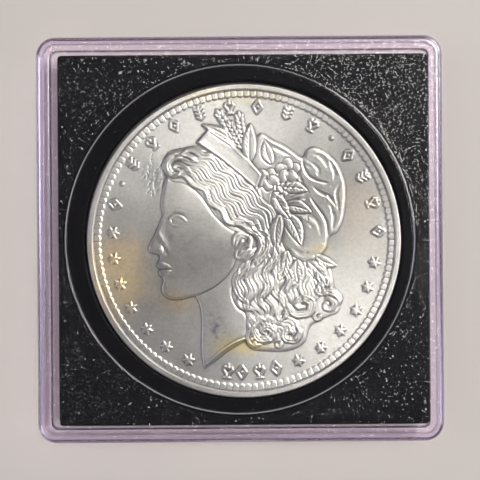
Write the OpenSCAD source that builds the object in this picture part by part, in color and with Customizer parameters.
// Snap-together square holder: two clear shells, a black insert and the silver coin that it keeps.
// The holder lies on its back. +Z points out of the front window, +Y is the top of the coin's design,
// and the origin is the centre of the flat back face.

/* [Case] */
// Outside width and height of the square case
case_w = 49; // [48:0.5:54]
// Thickness of the closed case
case_t = 6.4; // [6.2:0.1:7.4]
// Radius of the case's four upright corners
corner_r = 2.4; // [2.2:0.1:4]
// Rounding of the case's outer front and back edges
edge_r = 0.8; // [0.4:0.1:1.2]
// Width of the side wall, where both shells nest
wall_t = 1.6; // [1.6:0.1:2]
// Thickness of each clear plate
plate_t = 1.9; // [1.7:0.05:1.9]
// Diameter of the polished round window
window_d = 42.2; // [40:0.2:43]
// How far the grained frame stands above the polished window
frame_step = 0.15; // [0.1:0.05:0.3]

/* [Snap fit] */
// Thickness of the back shell's tongue
tongue_t = 0.7; // [0.6:0.05:0.7]
// Free gap between the tongue and the front shell's wall
tongue_gap = 0.12; // [0.1:0.01:0.15]
// Length of each snap bead
bead_length = 14; // [8:1:20]
// How far a snap bead stands out of the tongue
bead_height = 0.08; // [0.05:0.01:0.08]
// Length of the opening notch in the parting line
notch_length = 9; // [6:1:14]

/* [Insert] */
// Width of the square black insert
insert_w = 44.8; // [44:0.1:44.8]
// Diameter of the coin's seat
seat_d = 38.4; // [38.3:0.1:39]

/* [Coin] */
// Diameter of the coin
coin_d = 38.1; // [37:0.1:38.1]
// Thickness of the coin over its rims
coin_t = 2.4; // [2:0.1:2.4]
// Number of reeds round the coin's edge
reed_count = 189; // [60:1:200]

/* [Hidden] */
$fn = 96;
over = 0.1;                      // how far a cutting tool runs past the face that it cuts
stack_gap = 0.05;                // play above and below each loose piece
parting_z = case_t / 2;          // height of the joint line between the shells
cavity_w = case_w - 2 * wall_t;
tongue_w = cavity_w + 2 * tongue_t;
tongue_r = corner_r - wall_t + tongue_t;
cavity_r = max(corner_r - wall_t, 0.3);
tongue_top = case_t - plate_t - 2 * stack_gap;
socket_w = tongue_w + 2 * tongue_gap;
window_bevel = 0.2;              // width of the sloping wall round the window
bead_r = 0.5;
bead_z = parting_z + 0.65;       // height of the snap beads
notch_depth = 0.7;
notch_height = 0.7;
insert_t = case_t - 2 * plate_t - 2 * stack_gap;
insert_r = 0.5;
seat_bevel = 0.2;
coin_z = (case_t - coin_t) / 2;  // height of the coin's lower rim
rim_w = 0.7;
rim_h = 0.3;                     // height of the rim above the coin's field
bead_ring_w = 0.75;
relief_h = 0.2;                  // height of the stars and ornaments above the field
star_ring_r = coin_d / 2 - 3.05;
star_r = 0.75;
star_pitch = 11.3;               // degrees from one star to the next
stud_r = 0.6;
legend_studs = [-74, -55, -43, -31, -19, -6, 6, 19, 31, 51, 62, 74, 86.5];  // clockwise from the top
lower_studs = [166.4, 173.7, 181.4, 187.5];
reed_depth = 0.12;
field_front = coin_t - rim_h;    // height of the front field above the coin's lower rim

// A square outline with round corners.
module round_square(w, r) {
    square([w, w - 2 * r], center = true);
    square([w - 2 * r, w], center = true);
    for (x = [-1, 1], y = [-1, 1])
        translate([x * (w / 2 - r), y * (w / 2 - r)]) circle(r);
}

// The section of an outer edge, with its lower outer corner rounded.
module edge_section(w, h) {
    square([w - edge_r, h]);
    translate([0, edge_r]) square([w, h - edge_r]);
    translate([w - edge_r, edge_r]) circle(edge_r);
}

// One half of the case as a solid block, outer face down, with its lower edges rounded.
module case_block(h) {
    inner = case_w / 2 - corner_r;
    linear_extrude(h) square(2 * inner, center = true);
    for (turn = [0:3]) rotate(90 * turn) {
        translate([inner, inner]) rotate_extrude(angle = 90) edge_section(corner_r, h);
        translate([inner, inner]) rotate([90, 0, 0]) linear_extrude(2 * inner) edge_section(corner_r, h);
    }
}

// The shallow dish that leaves the polished window below the grained frame.
module window_dish() {
    translate([0, 0, -over]) cylinder(d = window_d, h = frame_step + over);
    translate([0, 0, -over])
        cylinder(r1 = window_d / 2 + window_bevel * (1 + over / frame_step), r2 = window_d / 2,
                 h = frame_step + over);
}

// A rod along the middle of each side, sunk so that it stands proud of a square of width w.
module side_rods(w, proud, length) {
    for (turn = [0:3]) rotate(90 * turn)
        translate([w / 2 + proud - bead_r, 0, bead_z]) rotate([90, 0, 0])
            cylinder(r = bead_r, h = length, center = true);
}

// Clear back shell: plate, low outer wall and the tall tongue with its snap beads.
module back_shell() {
    color([0.86, 0.88, 0.9, 0.4]) difference() {
        union() {
            case_block(parting_z);
            linear_extrude(tongue_top) round_square(tongue_w, tongue_r);
            side_rods(tongue_w, bead_height, bead_length);
        }
        translate([0, 0, plate_t]) linear_extrude(case_t) round_square(cavity_w, cavity_r);
        window_dish();
        opening_notch(parting_z - notch_height);
    }
}

// The slot that a thumbnail goes into, at the lower side's middle.
module opening_notch(z) {
    translate([-notch_length / 2, -case_w / 2 - over, z])
        cube([notch_length, notch_depth + over, notch_height + over]);
}

// Clear front shell: plate and outer wall, which slides down over the tongue.
module front_shell() {
    color([0.86, 0.88, 0.9, 0.4]) difference() {
        translate([0, 0, case_t]) mirror([0, 0, 1]) case_block(case_t - parting_z - stack_gap);
        translate([0, 0, parting_z - over])
            linear_extrude(case_t - plate_t - parting_z + over) round_square(socket_w, tongue_r + tongue_gap);
        side_rods(socket_w, bead_height, bead_length + 0.6);
        translate([0, 0, case_t]) mirror([0, 0, 1]) window_dish();
    }
}

// Black insert: a square frame with the coin's seat through it.
module insert() {
    color([0.05, 0.05, 0.055]) translate([0, 0, plate_t + stack_gap]) difference() {
        linear_extrude(insert_t) round_square(insert_w, insert_r);
        translate([0, 0, -over]) cylinder(d = seat_d, h = insert_t + 2 * over);
        for (z = [0, insert_t]) translate([0, 0, z]) mirror([0, 0, z > 0 ? 1 : 0]) translate([0, 0, -over])
            cylinder(r1 = seat_d / 2 + seat_bevel + over, r2 = seat_d / 2, h = seat_bevel + over);
    }
}

// The coin's outline: reeds as small raised teeth round a circle.
function reed_outline() = [
    for (i = [0:reed_count - 1], corner = [[0.1, 1], [0.45, 1], [0.55, 0], [1, 0]])
        let (a = 360 * (i + corner[0]) / reed_count, r = coin_d / 2 - reed_depth * (1 - corner[1]))
        [r * cos(a), r * sin(a)]
];

// A six-pointed star.
module star(r) {
    polygon([for (i = [0:11]) (i % 2 == 0 ? r : 0.5 * r) * [sin(30 * i), cos(30 * i)]]);
}

// The place of something on the ring inside the rim, by its clockwise angle from the top.
module on_ring(clock) {
    rotate(-clock) translate([0, star_ring_r]) children();
}

// Front design: thirteen stars, plain studs where a legend and a date would go, and a capped head.
module front_design() {
    for (i = [0:6]) on_ring(205.6 + star_pitch * i) star(star_r);
    for (i = [0:5]) on_ring(100 + star_pitch * i) star(star_r);
    for (clock = concat(legend_studs, lower_studs)) on_ring(clock) circle(stud_r);
    head_outline();
}

// The capped head's plain outline: skull, face, neck, back hair, curls and cap.
module head_outline() {
    translate([-1, 2]) circle(8.6);
    polygon([[-8.6, 5], [-10.6, -1.4], [-8.4, -6.4], [-4, -6.6], [-5, -14.6], [0, -11.4], [9, -9], [9, 4]]);
    for (curl = [[5, -6, 5.6], [8.4, -9, 3], [3, -11, 2.6]]) translate([curl[0], curl[1]]) circle(curl[2]);
    translate([8.4, 5.4]) circle(4.6);
}

// Back design: a wreath of leaves round a plain star.
module back_design() {
    star(5);
    for (i = [0:11], side = [-1, 1]) rotate(side * (15 + 12.4 * i)) translate([0, -12])
        rotate(side * 50) scale([0.5, 0.5]) intersection() {
            translate([1.8, 0]) circle(3);
            translate([-1.8, 0]) circle(3);
        }
}

// A raised ring on the coin, with its outer edge at radius r.
module coin_ring(r, w, h) {
    linear_extrude(h) difference() {
        circle(r);
        circle(r - w);
    }
}

// Silver coin: reeded edge, rims, and low designs on both faces.
module coin() {
    bead_ring_r = coin_d / 2 - reed_depth - rim_w;
    color([0.78, 0.77, 0.73]) translate([0, 0, coin_z]) {
        translate([0, 0, rim_h]) linear_extrude(coin_t - 2 * rim_h) polygon(reed_outline());
        coin_ring(coin_d / 2 - reed_depth, rim_w, coin_t);
        for (z = [0, field_front]) translate([0, 0, z])
            translate([0, 0, z > 0 ? 0 : rim_h - relief_h]) coin_ring(bead_ring_r, bead_ring_w, relief_h);
        translate([0, 0, field_front]) linear_extrude(relief_h) front_design();
        translate([0, 0, rim_h - relief_h]) linear_extrude(relief_h) mirror([1, 0]) back_design();
    }
}

back_shell();
front_shell();
insert();
coin();
